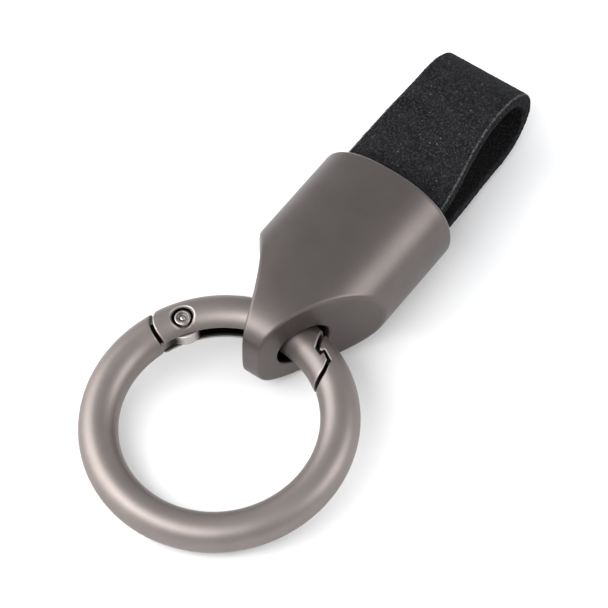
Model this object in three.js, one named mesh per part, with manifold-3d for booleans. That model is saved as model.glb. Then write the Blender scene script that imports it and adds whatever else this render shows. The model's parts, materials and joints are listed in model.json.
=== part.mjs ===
// Snap-ring key holder: a round spring-gate ring hung in the eye of an oval metal ferrule,
// with a suede strap loop held in the ferrule's mouth. Millimetres, +Z up, +Y towards the strap.
// The ferrule lies level on the ground plane; the ring leans from the eye down to the ground.
// The whole part's origin is on the ground, under the middle of its outline.
import * as THREE from "three";
import { mergeVertices } from "three/addons/utils/BufferGeometryUtils.js";
import Module from "manifold-3d";

const wasm = await Module();
wasm.setup();

// Ferrule: an oval barrel whose front end is scalloped on both sides down to a thin nose.
const BARREL_WIDTH = 19.5;
const BARREL_HEIGHT = 14.6;
const OVAL_POWER = 2.27;
const MOUTH_Y = 23.45;
const NOSE_Y = -6.55;
const NOSE_START_Y = 14;
const NOSE_POWER = 3.7;
const RIM_ROUND = 0.5;
const SCALLOP_RADIUS = 38;
const SCALLOP_HALF_WIDTH = 3.8;
const SCALLOP_SLOPE = 0.49;
const SCALLOP_REACH = 12;
const TIP_FLAT = 0.004;
const MID_Z = BARREL_HEIGHT / 2;

// The eye is a hole across the nose, a little longer than it is high.
const EYE = { frontY: -0.8, backY: 0.2, z: 6.47, radius: 2.88 };

// Socket for the strap, open at the mouth, with a recess under it for the clamp plate.
const SOCKET_BOTTOM_Y = 9;
const SOCKET_HALF_WIDTH = 7.95;
const STRAP_MID_Z = 7.35;
const SOCKET_HALF_HEIGHT = 3.45;
const SOCKET_CORNER = 1.2;
const PLATE = { width: 9, length: 11, thick: 0.9, y: 16, gap: 0.15 };
const SCREW = { radius: 1.5, hex: 0.8, depth: 0.7, clear: 0.15, ys: [13, 19] };

// Strap: one suede strip bent into a drop-shaped loop, narrower at the fold.
const STRAP_THICK = 1.85;
const LEG_OFFSET = 2.12;
const STRAP_START_Y = 9.6;
const STRAP_HALF_WIDTH = 7.5;
const STRAP_FOLD_HALF_WIDTH = 6.05;
const STRAP_STEPS = 72;
const TAPER_END_Y = 39;
const CORE = { halfHeight: 0.95, corner: 0.4, inset: 1.5 };

// The strap's middle line on one side of the fold: [y, offset from the strap's middle plane].
const STRAP_LEG = [
  [STRAP_START_Y, LEG_OFFSET], [16, LEG_OFFSET], [22, LEG_OFFSET], [26, 2.45], [30, 3.55], [34, 4.6],
];
const STRAP_FOLD = [[38.6, 5.1], [42.6, 4.6], [45.15, 2.8]];
const STRAP_TIP_Y = 46.2;

// Ring: round wire ring, 25 mm inside, with a sprung gate on the eye's side.
const RING_RADIUS = 15;
const WIRE_RADIUS = 2.5;
const GATE_WIRE_RADIUS = 2.62;
const RING_TILT = THREE.MathUtils.degToRad(7.6);
const RING_X = 1.23;
const RING_Y = -14.8;
const RING_Z = WIRE_RADIUS + RING_RADIUS * Math.sin(RING_TILT);

// Middle of the whole outline, seen from above, in the ferrule's own frame.
const OUTLINE_MIDDLE = { x: RING_X, y: 7.489 };

// Gate pivot and heel, as angles round the ring from +X.
const PIVOT_DEG = 143.5;
const PIVOT_RADIUS = 14.5;
const HEEL_RADIUS = 3.75;
const POCKET_RADIUS = 4.05;
const REGION = { outer: 20, inner: 10, half: 4 };
const CHANNEL = { halfWidth: 1.1, floor: 9, roof: 16.4, frontDeg: 99, backDeg: 168 };
const TONGUE = { halfWidth: 0.9, discRadius: 1.78, lobeRadius: 2.25, lobeDrop: 1.15 };
const TONGUE_BAR = { inner: 12.95, outer: 16.1, frontDeg: 146, backDeg: 163 };

// Rivet and the seat sunk for its heads in both cheeks of the gate.
const RIVET = { shank: 0.75, head: 1.18, edge: 0.15, dish: 0.75, boss: 0.5, seat: 1.75, top: 2.32 };
const RIVET_DISH = { depth: 0.25, bossDrop: 0.05 };
const RIVET_HOLE = { shank: 0.85, seat: 1.35, seatZ: 1.7, rim: 1.75, chamferZ: 2.25, rimZ: 2.8 };

// Spring and plunger inside the gate's channel.
const PLUNGER = { gap: 1.95, inward: 0.1, radius: 0.92, length: 2.2, pin: 0.5, pinLength: 0.45 };
const SPRING = { radius: 0.82, wire: 0.15, gap: 0.35, turns: 7, endDeg: 100.6, steps: 14, sides: 5 };

// The latch is a Z-shaped joint: [angle in degrees, radius], from outside the wire to inside it.
const GATE_TIP = [
  [79.0, 19], [78.4, 17.7], [70.8, 14.85], [66.2, 14.75], [66.5, 15.35],
  [62.3, 15.2], [58.8, 14.2], [54.5, 12.5], [53.0, 11],
];
const RING_NOTCH = [
  [77.4, 19], [76.8, 17.7], [69.6, 15.25], [67.8, 15.15], [68.0, 15.72],
  [61.4, 15.6], [56.8, 14.3], [51.8, 12.5], [50.1, 11],
];

const finish = (color, roughness, metalness) => new THREE.MeshStandardMaterial({ color, roughness, metalness });
const gunmetal = () => finish(0x746c68, 0.36, 1);
const steel = () => finish(0x9a9794, 0.3, 1);
const suede = () => finish(0x1d1d1f, 1, 0);
const board = () => finish(0x2b2826, 0.9, 0);

// A closed three.js geometry as a manifold solid.
function solid(geometry) {
  const bare = geometry.index ? geometry.toNonIndexed() : geometry.clone();
  bare.deleteAttribute("normal");
  bare.deleteAttribute("uv");
  const merged = mergeVertices(bare, 1e-4);
  return new wasm.Manifold(
    new wasm.Mesh({
      numProp: 3,
      vertProperties: merged.attributes.position.array,
      triVerts: new Uint32Array(merged.index.array),
    }),
  );
}

// A manifold solid as a named, flat-shaded mesh.
function named(name, body, material) {
  const mesh = body.getMesh();
  const geometry = new THREE.BufferGeometry();
  geometry.setAttribute("position", new THREE.BufferAttribute(mesh.vertProperties, 3));
  geometry.setIndex(new THREE.BufferAttribute(mesh.triVerts, 1));
  const made = new THREE.Mesh(geometry.toNonIndexed(), material);
  made.geometry.computeVertexNormals();
  made.name = name;
  return made;
}

// A flat outline in the XY plane, extruded from z = -half to z = +half.
function prism(shape, half, curveSegments = 12) {
  const depth = 2 * half;
  const geometry = new THREE.ExtrudeGeometry(shape, { depth, bevelEnabled: false, curveSegments });
  return geometry.translate(0, 0, -half);
}

// An outline drawn in (y, z), extruded across X over plus and minus half.
function crosswise(shape, half, curveSegments) {
  const toYZ = new THREE.Matrix4().makeBasis(
    new THREE.Vector3(0, 1, 0), new THREE.Vector3(0, 0, 1), new THREE.Vector3(1, 0, 0),
  );
  return prism(shape, half, curveSegments).applyMatrix4(toYZ);
}

// An outline drawn in (x, z), extruded along Y from y0 to y1.
function lengthwise(shape, y0, y1, curveSegments = 6) {
  const toXZ = new THREE.Matrix4().makeBasis(
    new THREE.Vector3(-1, 0, 0), new THREE.Vector3(0, 0, 1), new THREE.Vector3(0, 1, 0),
  );
  const depth = y1 - y0;
  const geometry = new THREE.ExtrudeGeometry(shape, { depth, bevelEnabled: false, curveSegments });
  return geometry.applyMatrix4(toXZ).translate(0, y0, 0);
}

function roundedBox(halfWidth, z0, z1, corner) {
  const shape = new THREE.Shape();
  shape.moveTo(-halfWidth + corner, z0);
  shape.lineTo(halfWidth - corner, z0);
  shape.absarc(halfWidth - corner, z0 + corner, corner, -Math.PI / 2, 0);
  shape.absarc(halfWidth - corner, z1 - corner, corner, 0, Math.PI / 2);
  shape.absarc(-halfWidth + corner, z1 - corner, corner, Math.PI / 2, Math.PI);
  shape.absarc(-halfWidth + corner, z0 + corner, corner, Math.PI, 1.5 * Math.PI);
  return shape;
}

function upright(radius, z0, z1, x, y, sides) {
  const geometry = new THREE.CylinderGeometry(radius, radius, z1 - z0, sides);
  return geometry.rotateX(Math.PI / 2).translate(x, y, (z0 + z1) / 2);
}

// Half the height of the barrel's oval at a place along its length.
function barrelHalfHeight(y) {
  const along = Math.max(0, (NOSE_START_Y - y) / (NOSE_START_Y - NOSE_Y));
  return MID_Z * Math.pow(Math.max(0, 1 - Math.pow(along, NOSE_POWER)), 1 / NOSE_POWER);
}

// Stations along the barrel, from the tip of the nose to the rounded rim: [y, shrink].
function barrelStations() {
  const stations = [];
  const noseSteps = 12;
  for (let i = 0; i <= noseSteps; i++) {
    const away = 1 - Math.cos((i / noseSteps) * (Math.PI / 2));
    stations.push([NOSE_Y + TIP_FLAT + (NOSE_START_Y - NOSE_Y) * away, 0]);
  }
  const rimSteps = 3;
  for (let i = 0; i <= rimSteps; i++) {
    const turn = (i / rimSteps) * (Math.PI / 2);
    const y = MOUTH_Y - RIM_ROUND * (1 - Math.sin(turn));
    stations.push([y, RIM_ROUND * (1 - Math.cos(turn))]);
  }
  return stations;
}

function barrel() {
  const stations = barrelStations();
  const geometry = new THREE.CylinderGeometry(1, 1, stations.length - 1, 56, stations.length - 1);
  const at = geometry.attributes.position;
  for (let i = 0; i < at.count; i++) {
    const [y, shrink] = stations[Math.round(at.getY(i) + (stations.length - 1) / 2)];
    const c = at.getX(i);
    const s = at.getZ(i);
    const halfWidth = BARREL_WIDTH / 2 - shrink;
    const halfHeight = barrelHalfHeight(y) - shrink;
    const x = halfWidth * Math.sign(c) * Math.pow(Math.abs(c), 2 / OVAL_POWER);
    const z = halfHeight * Math.sign(s) * Math.pow(Math.abs(s), 2 / OVAL_POWER);
    at.setXYZ(i, x, y, MID_Z + z);
  }
  return solid(geometry);
}

// The round-nosed cutter that scallops one side of the barrel.
function scallop(side) {
  const lean = Math.hypot(1, SCALLOP_SLOPE);
  const centreX = SCALLOP_HALF_WIDTH + SCALLOP_RADIUS / lean;
  const centreY = (-SCALLOP_RADIUS * SCALLOP_SLOPE) / lean;
  const from = Math.PI - Math.asin((SCALLOP_REACH - centreY) / SCALLOP_RADIUS);
  const to = Math.PI + Math.asin((centreY + SCALLOP_REACH) / SCALLOP_RADIUS);
  const shape = new THREE.Shape();
  shape.absarc(centreX, centreY, SCALLOP_RADIUS, from, to);
  shape.lineTo(centreX, -SCALLOP_REACH);
  shape.lineTo(centreX, SCALLOP_REACH);
  const cutter = prism(shape, BARREL_HEIGHT, 20);
  if (side < 0) cutter.rotateY(Math.PI);
  return solid(cutter);
}

function eyeHole() {
  const shape = new THREE.Shape();
  shape.absarc(EYE.backY, EYE.z, EYE.radius, -Math.PI / 2, Math.PI / 2);
  shape.absarc(EYE.frontY, EYE.z, EYE.radius, Math.PI / 2, 1.5 * Math.PI);
  return solid(crosswise(shape, BARREL_WIDTH, 14));
}

function socket() {
  const z0 = STRAP_MID_Z - SOCKET_HALF_HEIGHT;
  const z1 = STRAP_MID_Z + SOCKET_HALF_HEIGHT;
  const outline = roundedBox(SOCKET_HALF_WIDTH, z0, z1, SOCKET_CORNER);
  const mouth = solid(lengthwise(outline, SOCKET_BOTTOM_Y, MOUTH_Y + 5));
  const reach = PLATE.thick + 2 * PLATE.gap;
  const recess = new THREE.BoxGeometry(PLATE.width + 4 * PLATE.gap, PLATE.length + 4 * PLATE.gap, reach + 1);
  recess.translate(0, PLATE.y, z0 - reach + (reach + 1) / 2);
  return mouth.add(solid(recess));
}

function screwHole(y) {
  return solid(upright(SCREW.radius + SCREW.clear, -1, STRAP_MID_Z - SOCKET_HALF_HEIGHT, 0, y, 24));
}

function ferrule() {
  let body = barrel();
  for (const cutter of [scallop(1), scallop(-1), eyeHole(), socket(), ...SCREW.ys.map(screwHole)]) {
    body = body.subtract(cutter);
  }
  return named("ferrule", body, gunmetal());
}

function clampPlate() {
  const z = STRAP_MID_Z - SOCKET_HALF_HEIGHT - PLATE.gap - PLATE.thick / 2;
  const box = new THREE.BoxGeometry(PLATE.width, PLATE.length, PLATE.thick).translate(0, PLATE.y, z);
  return named("clamp_plate", solid(box), steel());
}

function clampScrew(name, y) {
  const top = STRAP_MID_Z - SOCKET_HALF_HEIGHT - 3 * PLATE.gap - PLATE.thick;
  const bottom = barrelUnderside(0) + SCREW.clear;
  const body = solid(upright(SCREW.radius, bottom, top, 0, y, 24));
  const hex = solid(upright(SCREW.hex, bottom - 1, bottom + SCREW.depth, 0, y, 6));
  return named(name, body.subtract(hex), steel());
}

// Height of the barrel's underside at a distance from its middle plane.
function barrelUnderside(x) {
  const part = 1 - Math.pow(Math.abs(x) / (BARREL_WIDTH / 2), OVAL_POWER);
  return MID_Z - MID_Z * Math.pow(part, 1 / OVAL_POWER);
}

// The strap's middle line in (y, z): up one leg, round the fold and back along the other.
function strapLine() {
  const half = [...STRAP_LEG, ...STRAP_FOLD].map(([y, z]) => new THREE.Vector3(0, y, STRAP_MID_Z - z));
  const tip = new THREE.Vector3(0, STRAP_TIP_Y, STRAP_MID_Z);
  const back = half.map((p) => new THREE.Vector3(0, p.y, 2 * STRAP_MID_Z - p.z)).reverse();
  return new THREE.CatmullRomCurve3([...half, tip, ...back], false, "centripetal");
}

// Half the strap's width at a place along its length: it narrows from the mouth to the fold.
function strapHalfWidth(y) {
  const t = THREE.MathUtils.smoothstep(y, MOUTH_Y, TAPER_END_Y);
  return THREE.MathUtils.lerp(STRAP_HALF_WIDTH, STRAP_FOLD_HALF_WIDTH, t);
}

function strapLoop() {
  const line = strapLine();
  const points = line.getSpacedPoints(STRAP_STEPS);
  const normals = points.map((_, i) => {
    const t = line.getTangentAt(i / STRAP_STEPS);
    return new THREE.Vector2(-t.z, t.y);
  });
  const side = (sign) =>
    points.map((p, i) => new THREE.Vector2(
      p.y + (sign * normals[i].x * STRAP_THICK) / 2,
      p.z + (sign * normals[i].y * STRAP_THICK) / 2,
    ));
  const outline = new THREE.Shape([...side(-1), ...side(1).reverse()]);
  const geometry = crosswise(outline, 1, 1);
  const at = geometry.attributes.position;
  for (let i = 0; i < at.count; i++) at.setX(i, at.getX(i) * strapHalfWidth(at.getY(i)));
  return named("strap_loop", solid(geometry), suede());
}

function strapCore() {
  const z0 = STRAP_MID_Z - CORE.halfHeight;
  const z1 = STRAP_MID_Z + CORE.halfHeight;
  const outline = roundedBox(STRAP_HALF_WIDTH, z0, z1, CORE.corner);
  const block = lengthwise(outline, STRAP_START_Y, MOUTH_Y - CORE.inset, 3);
  return named("strap_core", solid(block), board());
}

// A point in the ring's own plane from its polar place.
function onRing(deg, radius) {
  const a = THREE.MathUtils.degToRad(deg);
  return new THREE.Vector2(radius * Math.cos(a), radius * Math.sin(a));
}

const PIVOT = onRing(PIVOT_DEG, PIVOT_RADIUS);

function wire(radius) {
  return solid(new THREE.TorusGeometry(RING_RADIUS, radius, 20, 80));
}

function sector(inner, outer, fromDeg, toDeg, half) {
  const shape = new THREE.Shape();
  const from = THREE.MathUtils.degToRad(fromDeg);
  const to = THREE.MathUtils.degToRad(toDeg);
  shape.absarc(0, 0, outer, from, to);
  shape.absarc(0, 0, inner, to, from, true);
  return solid(prism(shape, half, 16));
}

function disc(radius, half, sides = 40) {
  return solid(upright(radius, -half, half, PIVOT.x, PIVOT.y, sides));
}

// Everything between a latch outline and the pivot, with a round heel behind the pivot.
function gateRegion(latch, heelRadius) {
  const shape = new THREE.Shape();
  shape.moveTo(...onRing(PIVOT_DEG, REGION.outer));
  for (const deg of [130, 115, 100, 90]) shape.lineTo(...onRing(deg, REGION.outer));
  for (const [deg, radius] of latch) shape.lineTo(...onRing(deg, radius));
  for (const deg of [60, 80, 100, 120, PIVOT_DEG]) shape.lineTo(...onRing(deg, REGION.inner));
  return solid(prism(shape, REGION.half)).add(disc(heelRadius, REGION.half));
}

// The flat tongue on the ring that the gate turns about, with a cam lobe on its inner side.
function tongue() {
  const reach = 4;
  const lobeCut = new THREE.BoxGeometry(2 * reach, 2 * reach, reach);
  const cutAt = onRing(PIVOT_DEG, PIVOT_RADIUS + reach - TONGUE.lobeDrop);
  lobeCut.rotateZ(THREE.MathUtils.degToRad(PIVOT_DEG));
  lobeCut.translate(cutAt.x, cutAt.y, 0);
  const lobe = disc(TONGUE.lobeRadius, TONGUE.halfWidth).subtract(solid(lobeCut));
  const bar = TONGUE_BAR;
  return disc(TONGUE.discRadius, TONGUE.halfWidth)
    .add(lobe)
    .add(sector(bar.inner, bar.outer, bar.frontDeg, bar.backDeg, TONGUE.halfWidth))
    .subtract(disc(RIVET_HOLE.shank, 2 * TONGUE.halfWidth, 24));
}

function ringBody() {
  const body = wire(WIRE_RADIUS).subtract(gateRegion(RING_NOTCH, POCKET_RADIUS)).add(tongue());
  return named("ring_body", body, gunmetal());
}

function lathe(points, segments) {
  const profile = points.map(([r, z]) => new THREE.Vector2(r, z));
  return new THREE.LatheGeometry(profile, segments);
}

// The stepped hole for the rivet, as a lathe about the pivot's axis.
function rivetSeat() {
  const h = RIVET_HOLE;
  const half = [[h.shank, h.seatZ], [h.seat, h.seatZ], [h.seat, h.chamferZ], [h.rim, h.rimZ]];
  const lower = half.map(([r, z]) => [r, -z]).reverse();
  const cutter = lathe([[0, -h.rimZ], ...lower, ...half, [0, h.rimZ]], 28);
  return solid(cutter.rotateX(Math.PI / 2).translate(PIVOT.x, PIVOT.y, 0));
}

function gate() {
  const c = CHANNEL;
  const channel = sector(c.floor, c.roof, c.frontDeg, c.backDeg, c.halfWidth);
  const body = wire(GATE_WIRE_RADIUS)
    .intersect(gateRegion(GATE_TIP, HEEL_RADIUS))
    .subtract(channel)
    .subtract(rivetSeat());
  return named("gate", body, gunmetal());
}

// The rivet: a plain shank with a dished, bossed head at each end.
function rivet() {
  const r = RIVET;
  const dishZ = r.top - RIVET_DISH.depth;
  const half = [[r.shank, r.seat], [r.head, r.seat], [r.head, r.top - r.edge], [r.head - r.edge, r.top]];
  const dish = [[r.dish, r.top], [r.dish, dishZ], [r.boss, dishZ], [r.boss, r.top - RIVET_DISH.bossDrop]];
  const upper = [...half, ...dish, [0, r.top]];
  const lower = upper.map(([radius, z]) => [radius, -z]).reverse();
  const body = lathe([...lower, ...upper], 28).rotateX(Math.PI / 2).translate(PIVOT.x, PIVOT.y, 0);
  return named("rivet", solid(body), steel());
}

// The plunger's push face stands in front of the tongue, square to the channel.
function plunger() {
  const p = PLUNGER;
  const end = p.length + p.pinLength;
  const head = [[0, 0], [p.radius, 0], [p.radius, p.length]];
  const body = lathe([...head, [p.pin, p.length], [p.pin, end], [0, end]], 20);
  body.rotateZ(THREE.MathUtils.degToRad(PIVOT_DEG - 180));
  const along = onRing(PIVOT_DEG - 90, p.gap);
  const base = onRing(PIVOT_DEG, PIVOT_RADIUS - p.inward);
  body.translate(base.x + along.x, base.y + along.y, 0);
  return named("spring_plunger", solid(body), steel());
}

// The coil spring follows the channel from the plunger's shoulder to the channel's front wall.
class SpringLine extends THREE.Curve {
  getPoint(t, target = new THREE.Vector3()) {
    const clear = PLUNGER.gap + PLUNGER.length + SPRING.gap;
    const start = PIVOT_DEG - THREE.MathUtils.radToDeg(clear / RING_RADIUS);
    const deg = THREE.MathUtils.lerp(start, SPRING.endDeg, t);
    const turn = 2 * Math.PI * SPRING.turns * t;
    const flat = onRing(deg, RING_RADIUS + SPRING.radius * Math.cos(turn));
    return target.set(flat.x, flat.y, SPRING.radius * Math.sin(turn));
  }
}

function gateSpring() {
  const section = new THREE.Shape();
  section.absarc(0, 0, SPRING.wire, 0, 2 * Math.PI);
  const coil = new THREE.ExtrudeGeometry(section, {
    steps: SPRING.turns * SPRING.steps, bevelEnabled: false,
    extrudePath: new SpringLine(), curveSegments: SPRING.sides,
  });
  return named("gate_spring", solid(coil), steel());
}

const ring = new THREE.Group();
ring.add(ringBody(), gate(), rivet(), plunger(), gateSpring());
ring.position.set(RING_X, RING_Y, RING_Z);
ring.rotation.x = RING_TILT;

const group = new THREE.Group();
group.add(ferrule(), clampPlate());
SCREW.ys.forEach((y, i) => group.add(clampScrew(`clamp_screw_${i + 1}`, y)));
group.add(strapLoop(), strapCore(), ring);
group.position.set(-OUTLINE_MIDDLE.x, -OUTLINE_MIDDLE.y, 0);

export default group;
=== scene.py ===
"""Snap-ring key holder: metal pieces meshed from distance fields, a suede strap swept along its line."""
import json
import math

import bmesh
import bpy
import numpy as np
from mathutils import Matrix, Vector, noise


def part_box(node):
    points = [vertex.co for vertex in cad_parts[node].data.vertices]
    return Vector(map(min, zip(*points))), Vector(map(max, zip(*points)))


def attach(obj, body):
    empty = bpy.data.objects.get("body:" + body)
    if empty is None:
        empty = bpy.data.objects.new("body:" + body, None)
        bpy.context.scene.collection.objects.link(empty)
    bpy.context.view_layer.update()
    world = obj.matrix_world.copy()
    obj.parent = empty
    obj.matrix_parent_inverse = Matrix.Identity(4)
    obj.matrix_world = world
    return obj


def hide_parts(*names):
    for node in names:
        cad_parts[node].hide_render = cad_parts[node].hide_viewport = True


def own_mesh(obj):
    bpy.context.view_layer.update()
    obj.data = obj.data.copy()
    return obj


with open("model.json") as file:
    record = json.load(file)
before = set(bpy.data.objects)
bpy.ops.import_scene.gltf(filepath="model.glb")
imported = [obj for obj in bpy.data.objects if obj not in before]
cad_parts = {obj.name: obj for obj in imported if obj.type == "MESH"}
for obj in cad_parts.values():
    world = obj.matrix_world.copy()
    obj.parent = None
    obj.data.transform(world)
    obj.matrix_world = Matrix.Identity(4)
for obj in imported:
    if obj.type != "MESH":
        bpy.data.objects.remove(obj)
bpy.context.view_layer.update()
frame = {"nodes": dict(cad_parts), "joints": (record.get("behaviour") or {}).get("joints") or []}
MM = 0.001


# ---------------------------------------------------------------- the frame's places, in millimetres

def joint(name):
    return next(j for j in frame["joints"] if j["name"] == name)


def mouth_centre():
    """The point on the ground under the middle of the ferrule's mouth."""
    low, high = np.array(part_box("ferrule"))
    return np.array([(low[0] + high[0]) / 2, high[1], 0]) / MM


# The holder is drawn with its middle plane at x = 0 and its mouth at MOUTH_Y.
MOUTH_Y = 23.45
HOLDER_PLACE = mouth_centre() - (0, MOUTH_Y, 0)
HOLDER_TO_WORLD = Matrix.Translation(Vector(HOLDER_PLACE * MM))


def node_box(name):
    """A holder node's box in the holder's own millimetres."""
    low, high = np.array(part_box(name)) / MM
    return low - HOLDER_PLACE, high - HOLDER_PLACE


FERRULE_LOW, FERRULE_HIGH = node_box("ferrule")
STRAP_LOW, STRAP_HIGH = node_box("strap_loop")
RING_TILT = math.asin(joint("ring_turn")["axis"][1])
RING_TO_WORLD = Matrix.Translation(joint("ring_turn")["pos_m"]) @ Matrix.Rotation(RING_TILT, 4, "X")

# ---------------------------------------------------------------- sizes, in millimetres

BARREL_WIDTH = FERRULE_HIGH[0] - FERRULE_LOW[0]
BARREL_HEIGHT = FERRULE_HIGH[2] - FERRULE_LOW[2]
MID_Z = BARREL_HEIGHT / 2
NOSE_Y = FERRULE_LOW[1]
NOSE_START_Y = 14
NOSE_POWER = 3.7
OVAL_POWER = 2.27
SCALLOP_RADIUS = 38
SCALLOP_HALF_WIDTH = 3.8
SCALLOP_SLOPE = 0.49
EYE = {"front_y": -0.8, "back_y": 0.2, "z": 6.47, "radius": 2.88}
SOCKET_BOTTOM_Y = 9
SOCKET_HALF_WIDTH = 7.95
STRAP_MID_Z = (STRAP_LOW[2] + STRAP_HIGH[2]) / 2
SOCKET_HALF_HEIGHT = 3.45
SOCKET_CORNER = 1.2
SCREW_RADIUS = 1.5
SCREW_CLEAR = 0.15
HEX_RADIUS = 0.8

RING_RADIUS = 15
WIRE_RADIUS = 2.5
GATE_WIRE_RADIUS = 2.62
PIVOT_DEG = 143.5
PIVOT_RADIUS = 14.5
HEEL_RADIUS = 3.75
POCKET_RADIUS = 4.2
CHANNEL_HALF_WIDTH = 1.1
CHANNEL_ROOF = 16.4
CHANNEL_DEG = (99, 168)
TONGUE_HALF_WIDTH = 0.9
TONGUE_BAR = {"inner": 12.95, "outer": 16.1, "deg": (146, 163)}
LOBE_EDGE = 1.95
RIVET_HOLE = {"shank": 0.85, "seat": 1.35, "seat_z": 1.7, "rim": 1.75, "chamfer_z": 2.25, "rim_z": 2.8}

# The latch's Z-shaped outline: (angle in degrees, radius), from outside the wire to inside it.
GATE_TIP = [(79.0, 19), (78.4, 17.7), (70.8, 14.85), (66.2, 14.75), (66.5, 15.35),
            (62.3, 15.2), (58.8, 14.2), (54.5, 12.5), (53.0, 11)]
RING_NOTCH = [(77.4, 19), (76.8, 17.7), (69.6, 15.25), (67.8, 15.15), (68.0, 15.72),
              (61.4, 15.6), (56.8, 14.3), (51.8, 12.5), (50.1, 11)]

PLUNGER_GAP = 1.95
PLUNGER_LENGTH = 2.2
PLUNGER_RADIUS = 0.92
PLUNGER_PIN = {"radius": 0.3, "length": 0.4}
SPRING_CLEAR = 0.45
SPRING_END_DEG = 100.6

STRAP_THICK = 1.85
STRAP_START_Y = 9.6
STRAP_HALF_WIDTH = 7.5
STRAP_FOLD_HALF_WIDTH = 6.05
STRAP_TAPER_END_Y = 39
STRAP_TIP_Y = 46.2
STRAP_CORNER = 0.3
STRAP_LEG = [(STRAP_START_Y, 2.12), (16, 2.12), (22, 2.12), (26, 2.45), (30, 3.55), (34, 4.6)]
STRAP_FOLD = [(38.6, 5.1), (42.6, 4.6), (45.15, 2.8)]

# The painted highlight along a cut edge, in a lighter bare-metal colour: its width on the wire, and how far
# it goes round the edge.
CUT_EDGE = 0.2
CUT_ROUND = 0.13

# Grid steps of the meshes, each fine enough for the piece's smallest rounding.
FERRULE_STEP = 0.178
RING_STEP = 0.15
GATE_STEP = 0.09
SCREW_STEP = 0.063


# ---------------------------------------------------------------- distance fields

def polar(deg, radius):
    a = math.radians(deg)
    return radius * math.cos(a), radius * math.sin(a)


PIVOT = polar(PIVOT_DEG, PIVOT_RADIUS)


def both(a, b, r):
    """The overlap of two solids, with its new edges rounded to radius r."""
    corner = np.sqrt(np.maximum(a + r, 0) ** 2 + np.maximum(b + r, 0) ** 2)
    return np.minimum(np.maximum(a, b), -r) + corner


def either(a, b, r):
    """Two solids joined, with a fillet of radius r where they meet."""
    return -both(-a, -b, r)


def outline_distance(points, x, y):
    """Signed distance to a closed outline, negative inside."""
    nearest = np.full(np.broadcast(x, y).shape, 1e9)
    inside = np.zeros(nearest.shape, bool)
    for (ax, ay), (bx, by) in zip(points, points[1:] + points[:1]):
        ex, ey = bx - ax, by - ay
        px, py = x - ax, y - ay
        t = np.clip((px * ex + py * ey) / (ex * ex + ey * ey), 0, 1)
        nearest = np.minimum(nearest, (px - t * ex) ** 2 + (py - t * ey) ** 2)
        crosses = (ay > y) != (by > y)
        inside ^= crosses & (px < ex * py / (ey if ey else 1e-9))
    return np.where(inside, -1, 1) * np.sqrt(nearest)


def from_pivot(x, y):
    return np.hypot(x - PIVOT[0], y - PIVOT[1])


def wire(x, y, z, radius):
    return np.sqrt((np.hypot(x, y) - RING_RADIUS) ** 2 + z * z) - radius


def sector(x, y, inner, outer, degs):
    r = np.hypot(x, y)
    middle, half = math.radians(sum(degs) / 2), math.radians(degs[1] - degs[0]) / 2
    turn = np.abs(np.arctan2(y, x) - middle)
    turn = np.minimum(turn, 2 * math.pi - turn)
    return np.maximum(np.abs(r - (inner + outer) / 2) - (outer - inner) / 2, r * (turn - half))


def gate_region(latch, heel_radius, x, y):
    """Everything between a latch outline and the pivot, with a round heel behind the pivot."""
    outside = [polar(deg, 20) for deg in (PIVOT_DEG, 130, 115, 100, 90)]
    inside = [polar(deg, 10) for deg in (60, 80, 100, 120, PIVOT_DEG)]
    area = outline_distance(outside + [polar(*p) for p in latch] + inside, x, y)
    return np.minimum(area, from_pivot(x, y) - heel_radius)


def tongue(x, y, z):
    towards = math.radians(PIVOT_DEG)
    outward = (x - PIVOT[0]) * math.cos(towards) + (y - PIVOT[1]) * math.sin(towards)
    lobe = np.maximum(from_pivot(x, y) - 2.25, outward + 1.15)
    plate = np.minimum(from_pivot(x, y) - 1.78, lobe)
    bar = sector(x, y, TONGUE_BAR["inner"], TONGUE_BAR["outer"], TONGUE_BAR["deg"])
    plate = either(plate, bar, 0.3)
    plate = both(plate, np.abs(z) - TONGUE_HALF_WIDTH, 0.12)
    return np.maximum(plate, RIVET_HOLE["shank"] - from_pivot(x, y))


def ring_field(x, y, z):
    cut = both(wire(x, y, z, WIRE_RADIUS), -gate_region(RING_NOTCH, POCKET_RADIUS, x, y), 0.16)
    return either(cut, tongue(x, y, z), 0.12)


def rivet_seat(x, y, z):
    h = RIVET_HOLE
    r, up = from_pivot(x, y), np.abs(z)
    slope = (h["rim"] - h["seat"]) / (h["rim_z"] - h["chamfer_z"])
    flare = (r - h["seat"] - slope * (up - h["chamfer_z"])) / math.hypot(1, slope)
    head = np.maximum(np.minimum(r - h["seat"], flare), h["seat_z"] - up)
    return np.minimum(head, r - h["shank"])


def gate_field(x, y, z):
    arm = both(wire(x, y, z, GATE_WIRE_RADIUS), gate_region(GATE_TIP, HEEL_RADIUS, x, y), 0.16)
    slot = np.maximum(sector(x, y, 8, CHANNEL_ROOF, CHANNEL_DEG), np.abs(z) - CHANNEL_HALF_WIDTH)
    return both(both(arm, -slot, 0.14), -rivet_seat(x, y, z), 0.05)


def barrel_half_height(y):
    along = np.clip((NOSE_START_Y - y) / (NOSE_START_Y - NOSE_Y), 0, 1)
    return MID_Z * np.maximum(1 - along ** NOSE_POWER, 1e-9) ** (1 / NOSE_POWER)


def oval(x, y, z):
    """The barrel's superellipse section, which gets lower towards the nose."""
    part = (np.abs(x) / (BARREL_WIDTH / 2)) ** OVAL_POWER
    part = part + (np.abs(z - MID_Z) / barrel_half_height(y)) ** OVAL_POWER
    return part ** (1 / OVAL_POWER) - 1


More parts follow.
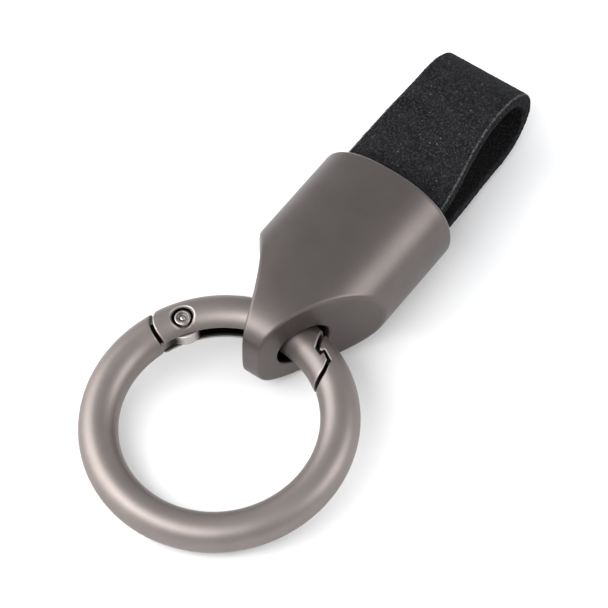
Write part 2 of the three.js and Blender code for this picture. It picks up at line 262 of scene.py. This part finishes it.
def nose(x, y, z):
    """The same surface, written so that it closes cleanly at the tip."""
    along = np.maximum((NOSE_START_Y - y) / (NOSE_START_Y - NOSE_Y), 0)
    crown = np.maximum(1 - (np.abs(x) / (BARREL_WIDTH / 2)) ** OVAL_POWER, 0.02) ** (1 / OVAL_POWER)
    up = np.abs(z - MID_Z) / (MID_Z * crown)
    return (up ** NOSE_POWER + along ** NOSE_POWER) ** (1 / NOSE_POWER) - 1


def as_distance(field, x, y, z):
    """A field divided by its own steepness, which is close to a distance near its surface."""
    step = 0.01
    here = field(x, y, z)
    slopes = [field(x + step, y, z) - here, field(x, y + step, z) - here, field(x, y, z + step) - here]
    return here * step / np.sqrt(sum(s * s for s in slopes) + 1e-12)


def rounded_box(x, z, half_width, half_height, corner):
    qx = np.abs(x) - half_width + corner
    qz = np.abs(z) - half_height + corner
    return np.hypot(np.maximum(qx, 0), np.maximum(qz, 0)) + np.minimum(np.maximum(qx, qz), 0) - corner


def scallop(x, y):
    """Both side cuts: positive inside the cutter."""
    lean = math.hypot(1, SCALLOP_SLOPE)
    cx = SCALLOP_HALF_WIDTH + SCALLOP_RADIUS / lean
    cy = -SCALLOP_RADIUS * SCALLOP_SLOPE / lean
    return SCALLOP_RADIUS - np.hypot(np.abs(x) - cx, y - cy)


def barrel(x, y, z):
    """The ferrule's outside, without its holes."""
    body = np.where(y < 4, as_distance(nose, x, y, z), as_distance(oval, x, y, z))
    body = both(body, scallop(x, y), 0.3)
    return both(body, y - MOUTH_Y, 0.5)


def ferrule_field(x, y, z):
    body = barrel(x, y, z)
    eye = np.hypot(y - np.clip(y, EYE["front_y"], EYE["back_y"]), z - EYE["z"]) - EYE["radius"]
    body = both(body, -eye, 0.3)
    socket = rounded_box(x, z - STRAP_MID_Z, SOCKET_HALF_WIDTH, SOCKET_HALF_HEIGHT, SOCKET_CORNER)
    body = both(body, -np.maximum(socket, SOCKET_BOTTOM_Y - y), 0.3)
    for name in ("clamp_screw_1", "clamp_screw_2"):
        low, high = node_box(name)
        hole = np.hypot(x, y - (low[1] + high[1]) / 2) - SCREW_RADIUS - SCREW_CLEAR
        body = both(body, -np.maximum(hole, z - high[2] - 1), 0.18)
    return body


def screw_field(low, high):
    """A headless screw with a chamfered end and a six-sided socket in it."""
    middle = (low[1] + high[1]) / 2

    def field(x, y, z):
        r = np.hypot(x, y - middle)
        turn = np.arctan2(y - middle, x)
        across = r * np.cos(np.mod(turn, math.pi / 3) - math.pi / 6)
        ends = np.abs(z - (low[2] + high[2]) / 2) - (high[2] - low[2]) / 2
        thread = 0.05 * np.abs(np.mod(z / 0.5 + turn / (2 * math.pi), 1) * 2 - 1)
        body = both(r - SCREW_RADIUS + thread, ends, 0.2)
        return both(body, -np.maximum(across - HEX_RADIUS * 0.87, z - low[2] - 0.8), 0.06)
    return field


# ---------------------------------------------------------------- meshes

def surface_net(field, low, high, step):
    """A closed quad mesh on a field's zero surface: one vertex in each grid cell that it passes through."""
    axes = [np.arange(a - 2 * step, b + 3 * step, step) for a, b in zip(low, high)]
    x, y, z = np.meshgrid(*axes, indexing="ij", sparse=True)
    values = np.broadcast_to(field(x, y, z), [len(a) for a in axes]).astype(np.float32)
    inside = values < 0
    corners = [(i, j, k) for i in (0, 1) for j in (0, 1) for k in (0, 1)]
    shape = tuple(n - 1 for n in inside.shape)

    def shifted(grid, i, j, k):
        return grid[i:i + shape[0], j:j + shape[1], k:k + shape[2]]

    count = sum(shifted(inside, *c).astype(np.int8) for c in corners)
    cells = np.argwhere((count > 0) & (count < 8))
    total, hits = np.zeros((len(cells), 3)), np.zeros(len(cells))
    at = {c: values[tuple((cells + c).T)] for c in corners}
    for c in corners:
        for axis in range(3):
            if c[axis]:
                continue
            d = tuple(v + (n == axis) for n, v in enumerate(c))
            crossing = (at[c] < 0) != (at[d] < 0)
            t = at[c] / np.where(crossing, at[c] - at[d], 1)
            point = cells + np.array(c, float)
            point[:, axis] += np.where(crossing, t, 0)
            total += np.where(crossing[:, None], point, 0)
            hits += crossing
    points = np.array([a[0] for a in axes]) + step * total / hits[:, None]
    points = onto_surface(field, points, step)
    index = np.full(shape, -1, np.int32)
    index[tuple(cells.T)] = np.arange(len(cells))
    return points, net_faces(inside, index)


def onto_surface(field, points, step):
    """Each point moved along the field's slope to where the field is zero."""
    h = step * 0.05
    for _ in range(2):
        x, y, z = points.T
        here = field(x, y, z)
        ahead = [field(x + h, y, z), field(x, y + h, z), field(x, y, z + h)]
        slope = np.stack([value - here for value in ahead], 1) / h
        move = slope * (here / np.maximum((slope ** 2).sum(1), 0.2))[:, None]
        points = points - np.clip(move, -0.5 * step, 0.5 * step)
    return points


def net_faces(inside, index):
    """A quad round each grid edge whose two ends are on different sides."""
    faces = []
    for axis in range(3):
        u, v = (axis + 1) % 3, (axis + 2) % 3
        a = np.moveaxis(inside, (axis, u, v), (0, 1, 2))
        cell = np.moveaxis(index, (axis, u, v), (0, 1, 2))
        edge = np.argwhere(a[:-1, 1:-1, 1:-1] != a[1:, 1:-1, 1:-1])
        i, j, k = edge.T
        j, k = j + 1, k + 1
        quad = np.stack([cell[i, j - 1, k - 1], cell[i, j, k - 1], cell[i, j, k], cell[i, j - 1, k]], 1)
        out = a[i, j, k]
        quad[~out] = quad[~out][:, ::-1]
        faces.append(quad)
    return np.concatenate(faces)


def new_object(name, points, faces, matrix=None):
    mesh = bpy.data.meshes.new(name)
    mesh.from_pydata((np.asarray(points) * MM).tolist(), [], np.asarray(faces).tolist())
    if matrix is not None:
        mesh.transform(matrix)
    mesh.shade_smooth()
    mesh.update()
    made = bpy.data.objects.new(name, mesh)
    bpy.context.collection.objects.link(made)
    return made


def shaded(made, name, depth, fade):
    """A share on each vertex for the material: 0 where depth is positive, up to 1 at a depth of -fade."""
    share = np.clip(-depth / fade, 0, 1).astype(np.float32)
    made.data.attributes.new(name, "FLOAT", "POINT").data.foreach_set("value", share)


def untangled(made):
    """Opens the few places where the net joined two sheets at a knife edge, and fills each hole."""
    work = bmesh.new()
    work.from_mesh(made.data)
    knots = {v for e in work.edges if len(e.link_faces) != 2 for v in e.verts}
    bmesh.ops.delete(work, geom=list({f for v in knots for f in v.link_faces}), context="FACES")
    filled = bmesh.ops.holes_fill(work, edges=[e for e in work.edges if e.is_boundary], sides=0)
    for face in filled["faces"]:
        face.smooth = True
    work.to_mesh(made.data)
    work.free()


def lathe(name, profile, segments, matrix):
    """A closed turned piece about Z from (radius, height) points that start and end on the axis."""
    points, faces = [(0, 0, profile[0][1]), (0, 0, profile[-1][1])], []
    rows = profile[1:-1]
    for r, z in rows:
        points += [(r * math.cos(2 * math.pi * i / segments), r * math.sin(2 * math.pi * i / segments), z)
                   for i in range(segments)]
    start = [2 + n * segments for n in range(len(rows))]
    for i in range(segments):
        j = (i + 1) % segments
        faces.append((0, start[0] + j, start[0] + i))
        for a, b in zip(start, start[1:]):
            faces.append((a + i, a + j, b + j, b + i))
        faces.append((1, start[-1] + i, start[-1] + j))
    mesh = bpy.data.meshes.new(name)
    mesh.from_pydata((np.array(points) * MM).tolist(), [], faces)
    mesh.transform(matrix)
    mesh.set_sharp_from_angle(angle=math.radians(35))
    made = bpy.data.objects.new(name, mesh)
    bpy.context.collection.objects.link(made)
    return made


def eased(profile, ease):
    """A turned profile with each outer corner cut by a small bevel."""
    out = [profile[0]]
    for (ax, ay), (bx, by), (cx, cy) in zip(profile, profile[1:], profile[2:]):
        for tx, ty in ((ax, ay), (cx, cy)):
            length = math.hypot(tx - bx, ty - by)
            t = min(0.4, ease / max(length, 1e-6))
            out.append((bx + (tx - bx) * t, by + (ty - by) * t))
    return out + [profile[-1]]


# ---------------------------------------------------------------- materials

def material(name, colour, roughness, metallic):
    made = bpy.data.materials.new(name)
    made.use_nodes = True
    shader = made.node_tree.nodes["Principled BSDF"]
    shader.inputs["Base Color"].default_value = (*colour, 1)
    shader.inputs["Roughness"].default_value = roughness
    shader.inputs["Metallic"].default_value = metallic
    return made, made.node_tree, shader


def noise_node(tree, scale, detail=2.0, stretch=(1, 1, 1)):
    where = tree.nodes.new("ShaderNodeTexCoord")
    spread = tree.nodes.new("ShaderNodeMapping")
    spread.inputs["Scale"].default_value = stretch
    made = tree.nodes.new("ShaderNodeTexNoise")
    made.inputs["Scale"].default_value = scale
    made.inputs["Detail"].default_value = detail
    tree.links.new(where.outputs["Object"], spread.inputs["Vector"])
    tree.links.new(spread.outputs["Vector"], made.inputs["Vector"])
    return made.outputs["Fac"]


def ranged(tree, value, low, high, start=0.3, end=0.7):
    made = tree.nodes.new("ShaderNodeMapRange")
    for socket, number in (("From Min", start), ("From Max", end), ("To Min", low), ("To Max", high)):
        made.inputs[socket].default_value = number
    tree.links.new(value, made.inputs["Value"])
    return made.outputs["Result"]


def blended(tree, factor, a, b):
    made = tree.nodes.new("ShaderNodeMix")
    made.data_type = "RGBA"
    for socket, colour in ((6, a), (7, b)):
        if isinstance(colour, tuple):
            made.inputs[socket].default_value = (*colour, 1)
        else:
            tree.links.new(colour, made.inputs[socket])
    tree.links.new(factor, made.inputs[0])
    return made.outputs[2]


def attribute(tree, name):
    made = tree.nodes.new("ShaderNodeAttribute")
    made.attribute_name = name
    return made.outputs["Fac"]


def bumped(tree, shader, height, distance, strength=1.0):
    made = tree.nodes.new("ShaderNodeBump")
    made.inputs["Distance"].default_value = distance
    made.inputs["Strength"].default_value = strength
    tree.links.new(height, made.inputs["Height"])
    tree.links.new(made.outputs["Normal"], shader.inputs["Normal"])


def gunmetal(name, tint, roughness):
    """Satin plating: a warm grey with a fine blasted grain, a lighter bare-metal colour on machined rims and
    cut edges that is partly a painted highlight, and near-black painted shade in gaps and recesses.
    """
    made, tree, shader = material(name, tint, roughness, 1.0)
    cloud = noise_node(tree, 260, 3)
    dim, bright = (tuple(share * c for c in tint) for share in (0.95, 1.05))
    plated = blended(tree, ranged(tree, cloud, 0, 1), dim, bright)
    # A lighter bare-metal colour on rims and cut edges, partly a painted highlight standing in for the
    # bevels' highlights.
    rim = blended(tree, attribute(tree, "bare_metal_and_highlight"), plated, (0.52, 0.49, 0.47))
    # Painted shade: near black on faces deep in gaps, channels and recesses.
    colour = blended(tree, attribute(tree, "painted_shade"), rim, (0.009, 0.0085, 0.0085))
    tree.links.new(colour, shader.inputs["Base Color"])
    grain = noise_node(tree, 9000, 2)
    tree.links.new(ranged(tree, grain, roughness - 0.03, roughness + 0.04), shader.inputs["Roughness"])
    bumped(tree, shader, grain, 0.000004, 0.5)
    return made


def steel(name="steel", colour=(0.3, 0.28, 0.27), roughness=0.24):
    made, tree, shader = material(name, colour, roughness, 1.0)
    grain = noise_node(tree, 5000, 2)
    tree.links.new(ranged(tree, grain, roughness - 0.05, roughness + 0.08), shader.inputs["Roughness"])
    bumped(tree, shader, grain, 0.000004, 0.4)
    return made


def core_board():
    made, tree, shader = material("core_board", (0.03, 0.027, 0.025), 0.9, 0.0)
    fibre = noise_node(tree, 3000, 4)
    colour = blended(tree, ranged(tree, fibre, 0, 1), (0.018, 0.016, 0.015), (0.045, 0.04, 0.037))
    tree.links.new(colour, shader.inputs["Base Color"])
    bumped(tree, shader, fibre, 0.00003)
    return made


def suede():
    """Black suede: short mottled nap, with paler speckled fibres on the cut edges."""
    made, tree, shader = material("suede", (0.016, 0.016, 0.017), 0.95, 0.0)
    shader.inputs["Sheen Weight"].default_value = 0.025
    shader.inputs["Sheen Roughness"].default_value = 0.45
    shader.inputs["Sheen Tint"].default_value = (0.75, 0.78, 0.85, 1)
    shader.inputs["Specular IOR Level"].default_value = 0.05
    patch = noise_node(tree, 500, 3)
    fibre = noise_node(tree, 4200, 3, (1, 1, 0.6))
    fleck = noise_node(tree, 2600, 2)
    ground = blended(tree, ranged(tree, patch, 0, 1), (0.0045, 0.0045, 0.0049), (0.01, 0.01, 0.0108))
    napped = blended(tree, ranged(tree, fibre, 0, 1, 0.45, 0.75), ground, (0.031, 0.031, 0.034))
    flecked = blended(tree, ranged(tree, fleck, 0, 0.6, 0.68, 0.76), napped, (0.14, 0.14, 0.148))
    cut = blended(tree, ranged(tree, fibre, 0, 1, 0.45, 0.75), (0.002, 0.002, 0.0022), (0.028, 0.028, 0.031))
    ends = ranged(tree, fibre, 0, 1, 0.35, 0.65)
    frayed = blended(tree, ends, (0.01, 0.01, 0.011), (0.11, 0.11, 0.118))
    outer = blended(tree, attribute(tree, "cut_edge"), flecked, cut)
    outer = blended(tree, attribute(tree, "fray"), outer, frayed)
    # Painted shade: the strip's inner side is darker.
    inner = ranged(tree, fibre, 0, 1, 0.45, 0.75)
    inner_shade = blended(tree, inner, (0.003, 0.003, 0.0032), (0.016, 0.016, 0.017))
    tree.links.new(blended(tree, attribute(tree, "inner_shade"), outer, inner_shade), shader.inputs["Base Color"])
    bumped(tree, shader, fibre, 0.00012, 0.9)
    return made


def paint(piece, finish):
    piece.data.materials.clear()
    piece.data.materials.append(finish)
    return piece


FERRULE_METAL = gunmetal("gunmetal", (0.122, 0.106, 0.102), 0.41)
# The ring and gate get a lighter copy of the same gunmetal, standing in for the brighter light on the ring:
# painted light.
RING_METAL = gunmetal("gunmetal_ring", (0.218, 0.191, 0.18), 0.47)
STEEL = steel()
DARK_STEEL = steel("dark_steel", (0.1, 0.095, 0.09), 0.3)


# ---------------------------------------------------------------- the holder

def build_ferrule():
    points, faces = surface_net(ferrule_field, FERRULE_LOW, FERRULE_HIGH, FERRULE_STEP)
    made = new_object("ferrule_shell", points, faces, HOLDER_TO_WORLD)
    x, y, z = points.T
    # Painted shade: surfaces deep inside the barrel (eye, socket, screw holes) turn near black.
    shaded(made, "painted_shade", barrel(x, y, z) + 0.35, 0.8)
    # Painted highlight: a thin lighter line along the mouth's edge.
    mouth_edge = np.maximum(MOUTH_Y - 0.34 - y, y - MOUTH_Y + 0.06)
    shaded(made, "bare_metal_and_highlight", np.maximum(mouth_edge, -0.4 - barrel(x, y, z)), 0.25)
    paint(made, FERRULE_METAL)
    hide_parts("ferrule")
    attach(made, "holder")


def build_screws():
    for n in (1, 2):
        low, high = node_box(f"clamp_screw_{n}")
        points, faces = surface_net(screw_field(low, high), low, high, SCREW_STEP)
        made = new_object(f"clamp_screw_piece_{n}", points, faces, HOLDER_TO_WORLD)
        paint(made, DARK_STEEL)
        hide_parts(f"clamp_screw_{n}")
        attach(made, "holder")


def paint_hidden_nodes():
    for name, finish in (("clamp_plate", DARK_STEEL), ("strap_core", core_board())):
        node = frame["nodes"][name]
        for slot in node.material_slots:
            slot.material = finish


# ---------------------------------------------------------------- the strap

def catmull_rom(points, per_span):
    """A smooth line through the points, with centripetal spacing."""
    p = [2 * points[0] - points[1], *points, 2 * points[-1] - points[-2]]
    line = []
    for a, b, c, d in zip(p, p[1:], p[2:], p[3:]):
        t = [0.0]
        for u, v in ((a, b), (b, c), (c, d)):
            t.append(t[-1] + math.sqrt(np.linalg.norm(v - u)))
        for s in np.linspace(t[1], t[2], per_span, endpoint=False):
            ab = a + (b - a) * (s - t[0]) / (t[1] - t[0])
            bc = b + (c - b) * (s - t[1]) / (t[2] - t[1])
            cd = c + (d - c) * (s - t[2]) / (t[3] - t[2])
            abc = ab + (bc - ab) * (s - t[0]) / (t[2] - t[0])
            bcd = bc + (cd - bc) * (s - t[1]) / (t[3] - t[1])
            line.append(abc + (bcd - abc) * (s - t[1]) / (t[2] - t[1]))
    return np.array([*line, points[-1]])


def spaced(line, step):
    """The line again, with points at even steps along it."""
    run = np.concatenate([[0], np.cumsum(np.linalg.norm(np.diff(line, axis=0), axis=1))])
    even = np.linspace(0, run[-1], int(run[-1] / step) + 1)
    return np.stack([np.interp(even, run, line[:, n]) for n in range(2)], 1), run[-1]


def strap_line():
    """The folded strip's middle line as (y, z), from one end in the socket to the other."""
    lower = [np.array([y, STRAP_MID_Z - z]) for y, z in STRAP_LEG + STRAP_FOLD]
    upper = [np.array([p[0], 2 * STRAP_MID_Z - p[1]]) for p in reversed(lower)]
    return catmull_rom([*lower, np.array([STRAP_TIP_Y, STRAP_MID_Z]), *upper], 24)


def strap_half_width(y):
    t = min(max((y - MOUTH_Y) / (STRAP_TAPER_END_Y - MOUTH_Y), 0), 1)
    return STRAP_HALF_WIDTH + (STRAP_FOLD_HALF_WIDTH - STRAP_HALF_WIDTH) * t * t * (3 - 2 * t)


def strap_section(half_width, across, through):
    """A strip's section as (x, height, edge share), with rounded corners and flat cut edges."""
    half, corner = STRAP_THICK / 2, STRAP_CORNER
    section = []
    flat = np.linspace(-half_width + corner, half_width - corner, across)
    edge = np.linspace(-half + corner, half - corner, through)
    turns = [math.radians(a) for a in (0, 22.5, 45, 67.5, 90)]
    section += [(x, -half, 0.0) for x in flat[1:-1]]
    section += [(half_width - corner + corner * math.sin(a), -half + corner - corner * math.cos(a),
                 math.sin(a)) for a in turns]
    section += [(half_width, h, 1.0) for h in edge[1:-1]]
    section += [(half_width - corner + corner * math.cos(a), half - corner + corner * math.sin(a),
                 math.cos(a)) for a in turns]
    section += [(x, half, 0.0) for x in flat[::-1][1:-1]]
    section += [(-half_width + corner - corner * math.sin(a), half - corner + corner * math.cos(a),
                 math.sin(a)) for a in turns]
    section += [(-half_width, h, 1.0) for h in edge[::-1][1:-1]]
    section += [(-half_width + corner - corner * math.cos(a), -half + corner - corner * math.sin(a),
                 math.cos(a)) for a in turns]
    return section


def build_strap():
    line, length = spaced(strap_line(), 0.22)
    tangent = np.gradient(line, axis=0)
    tangent /= np.linalg.norm(tangent, axis=1)[:, None]
    points, edge_share, inner_shade, fray = [], [], [], []
    for (y, z), (ty, tz) in zip(line, tangent):
        section = strap_section(strap_half_width(y), 62, 7)
        for x, h, share in section:
            # Painted shade mask on the inner side of the strip.
            inner_shade.append((1 - share) * (h > 0))
            fray.append(4 * share * (1 - share) * (h < 0))
            p = Vector((x, y - h * tz, z + h * ty))
            nap = noise.noise(p * 2.2) * 0.03 + noise.noise(p * 5.1) * 0.03
            rough = nap * (1 + 0.8 * share)
            side = math.copysign(share, x)
            up = math.copysign(1 - share, h)
            points.append((p.x + side * rough, p.y - up * rough * tz, p.z + up * rough * ty))
            edge_share.append(share)
    count, rows = len(section), len(line)
    faces = [(r * count + i, (r + 1) * count + i, (r + 1) * count + j, r * count + j)
             for r in range(rows - 1) for i, j in zip(range(count), [*range(1, count), 0])]
    faces += [tuple(range(count)), tuple((rows - 1) * count + i for i in range(count))[::-1]]
    mesh = bpy.data.meshes.new("strap_suede")
    mesh.from_pydata((np.array(points) * MM).tolist(), [], faces)
    mesh.transform(HOLDER_TO_WORLD)
    for name, values in (("cut_edge", edge_share), ("inner_shade", inner_shade), ("fray", fray)):
        mesh.attributes.new(name, "FLOAT", "POINT").data.foreach_set("value", values)
    mesh.shade_smooth()
    made = bpy.data.objects.new("strap_suede", mesh)
    bpy.context.collection.objects.link(made)
    paint(made, suede())
    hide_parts("strap_loop")
    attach(made, "holder")


# ---------------------------------------------------------------- the ring

def build_ring():
    reach = RING_RADIUS + WIRE_RADIUS
    high = np.array((reach, reach, WIRE_RADIUS))
    points, faces = surface_net(ring_field, -high, high, RING_STEP)
    made = new_object("ring_wire", points, faces, RING_TO_WORLD)
    x, y, z = points.T
    cut = -gate_region(RING_NOTCH, POCKET_RADIUS, x, y)
    depth = wire(x, y, z, WIRE_RADIUS)
    outward = (x * PIVOT[0] + y * PIVOT[1]) / PIVOT_RADIUS - PIVOT_RADIUS
    # Painted shade: near black deep in the wire's latch notch and heel pocket.
    shaded(made, "painted_shade", np.maximum(depth + 0.14, np.minimum(np.abs(cut) - 0.15, -LOBE_EDGE - outward)), 0.2)
    # Painted highlight in a lighter bare-metal colour along the notch's cut edge.
    shaded(made, "bare_metal_and_highlight", np.maximum(-cut - CUT_EDGE, -depth - CUT_ROUND), 0.3)
    paint(made, RING_METAL)
    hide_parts("ring_body")
    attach(made, "ring")


def build_gate():
    r = GATE_WIRE_RADIUS
    points, faces = surface_net(gate_field, (-16.2, 5, -r), (10, RING_RADIUS + r, r), GATE_STEP)
    made = new_object("gate_arm", points, faces, RING_TO_WORLD)
    x, y, z = points.T
    depth = wire(x, y, z, GATE_WIRE_RADIUS)
    from_rim = np.abs(from_pivot(x, y) - RIVET_HOLE["seat"] - 0.22) - 0.14
    on_rim = np.maximum(from_rim, RIVET_HOLE["seat_z"] + 0.2 - np.abs(z))
    cut = gate_region(GATE_TIP, HEEL_RADIUS, x, y)
    on_cut = np.maximum(-cut - CUT_EDGE, -depth - CUT_ROUND)
    # Painted shade: near black deep in the channel, except on the rivet's rim.
    shaded(made, "painted_shade", np.where(on_rim < 0, 1, depth + 0.2), 0.3)
    # Lighter bare-metal colour on the rivet's rim chamfer and the latch's cut edge, partly a painted
    # highlight.
    shaded(made, "bare_metal_and_highlight", np.minimum(on_rim, on_cut), 0.2)
    untangled(made)
    paint(made, RING_METAL)
    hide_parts("gate")
    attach(made, "gate_leaf")


def pivot_matrix():
    return RING_TO_WORLD @ Matrix.Translation(Vector((PIVOT[0], PIVOT[1], 0)) * MM)


def build_rivet():
    """A rivet with a recess and a small dome in each head, from its shank out to the middle of the head."""
    head = [(0.75, 1.75), (1.1, 1.75), (1.1, 2.12), (0.98, 2.26), (0.8, 2.3), (0.7, 2.24)]
    recess = [(0.66, 1.85), (0.46, 1.85), (0.36, 2.06), (0.18, 2.18), (0, 2.2)]
    upper = head + recess
    lower = [(r, -z) for r, z in reversed(upper)]
    made = lathe("rivet_turned", eased(lower + upper, 0.05), 64, pivot_matrix())
    paint(made, STEEL)
    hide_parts("rivet")
    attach(made, "gate_leaf")


def build_plunger():
    radius, length, pin = PLUNGER_RADIUS, PLUNGER_LENGTH, PLUNGER_PIN["radius"]
    tip = length + PLUNGER_PIN["length"]
    along = math.radians(PIVOT_DEG - 90)
    out = math.radians(PIVOT_DEG)
    place = Matrix.Translation(Vector((
        PIVOT[0] + PLUNGER_GAP * math.cos(along) - 0.1 * math.cos(out),
        PIVOT[1] + PLUNGER_GAP * math.sin(along) - 0.1 * math.sin(out), 0)) * MM)
    aim = Matrix.Rotation(along, 4, "Z") @ Matrix.Rotation(math.pi / 2, 4, "Y")
    profile = [(0, 0), (radius, 0), (radius, length), (pin, length), (pin, tip), (0, tip)]
    made = lathe("plunger_turned", eased(profile, 0.08), 40, RING_TO_WORLD @ place @ aim)
    paint(made, DARK_STEEL)
    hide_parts("spring_plunger")
    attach(made, "plunger")


def build_spring():
    """A coil along the channel from the plunger to the front wall."""
    turns, coil, wire_radius = 7, 0.82, 0.15
    start_deg = PIVOT_DEG - math.degrees((PLUNGER_GAP + PLUNGER_LENGTH + SPRING_CLEAR) / RING_RADIUS)
    curve = bpy.data.curves.new("spring_coil", "CURVE")
    curve.dimensions = "3D"
    curve.bevel_depth = wire_radius * MM
    curve.bevel_resolution = 4
    curve.use_fill_caps = True
    spline = curve.splines.new("POLY")
    steps = turns * 28
    spline.points.add(steps)
    for i, point in enumerate(spline.points):
        t = i / steps
        turn = 2 * math.pi * turns * t
        x, y = polar(start_deg + (SPRING_END_DEG - start_deg) * t, RING_RADIUS + coil * math.cos(turn))
        point.co = (*(RING_TO_WORLD @ (Vector((x, y, coil * math.sin(turn))) * MM)), 1)
    drawn = bpy.data.objects.new("spring_line", curve)
    mesh = bpy.data.meshes.new_from_object(drawn)
    bpy.data.objects.remove(drawn)
    made = bpy.data.objects.new("spring_coil", mesh)
    bpy.context.collection.objects.link(made)
    paint(made, STEEL)
    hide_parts("gate_spring")
    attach(made, "gate_leaf")
    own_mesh(made)


# ---------------------------------------------------------------- floor, light and camera

CAMERA_AZIMUTH = math.radians(35.59)
CAMERA_ELEVATION = math.radians(54.71)
CAMERA_TARGET = Vector(HOLDER_PLACE + (-2.516, 8.432, 0)) * MM
CAMERA_DISTANCE = 0.509
CAMERA_LENS = 236.84


def build_camera():
    a, e = CAMERA_AZIMUTH, CAMERA_ELEVATION
    back = Vector((math.sin(a) * math.cos(e), -math.cos(a) * math.cos(e), math.sin(e)))
    data = bpy.data.cameras.new("camera")
    data.lens = CAMERA_LENS
    data.sensor_width = 36
    data.clip_start = 0.01
    made = bpy.data.objects.new("camera", data)
    made.location = CAMERA_TARGET + back * CAMERA_DISTANCE
    made.rotation_euler = (math.pi / 2 - e, 0, a)
    bpy.context.collection.objects.link(made)
    bpy.context.scene.camera = made


def build_floor():
    mesh = bpy.data.meshes.new("floor")
    size = 1.5
    corners = [(-size, -size, 0), (size, -size, 0), (size, size, 0), (-size, size, 0)]
    mesh.from_pydata(corners, [], [(0, 1, 2, 3)])
    made = bpy.data.objects.new("floor", mesh)
    bpy.context.collection.objects.link(made)
    finish, _, _ = material("floor_white", (0.785, 0.785, 0.785), 0.8, 0.0)
    mesh.materials.append(finish)


def area_light(name, place, target, size, power):
    data = bpy.data.lights.new(name, "AREA")
    data.shape = "RECTANGLE"
    data.size, data.size_y = size
    data.energy = power
    made = bpy.data.objects.new(name, data)
    made.location = place
    made.rotation_euler = (Vector(target) - Vector(place)).to_track_quat("-Z", "Y").to_euler()
    bpy.context.collection.objects.link(made)


def build_lights():
    world = bpy.data.worlds.new("studio")
    world.use_nodes = True
    world.node_tree.nodes["Background"].inputs["Color"].default_value = (0.97, 0.98, 1, 1)
    world.node_tree.nodes["Background"].inputs["Strength"].default_value = 0.85
    bpy.context.scene.world = world
    bpy.context.scene.view_settings.view_transform = "Standard"
    middle = (0, 0, 0)
    area_light("right", (0.55, 0.25, 0.4), middle, (0.4, 0.4), 2.4)
    area_light("left", (-0.5, -0.25, 0.3), middle, (0.75, 0.5), 4.5)
    area_light("front", (-0.1, -0.5, 0.6), middle, (0.8, 0.4), 5)


build_camera()
build_floor()
build_lights()
build_ferrule()
build_screws()
paint_hidden_nodes()
build_strap()
build_ring()
build_gate()
build_rivet()
build_plunger()
build_spring()
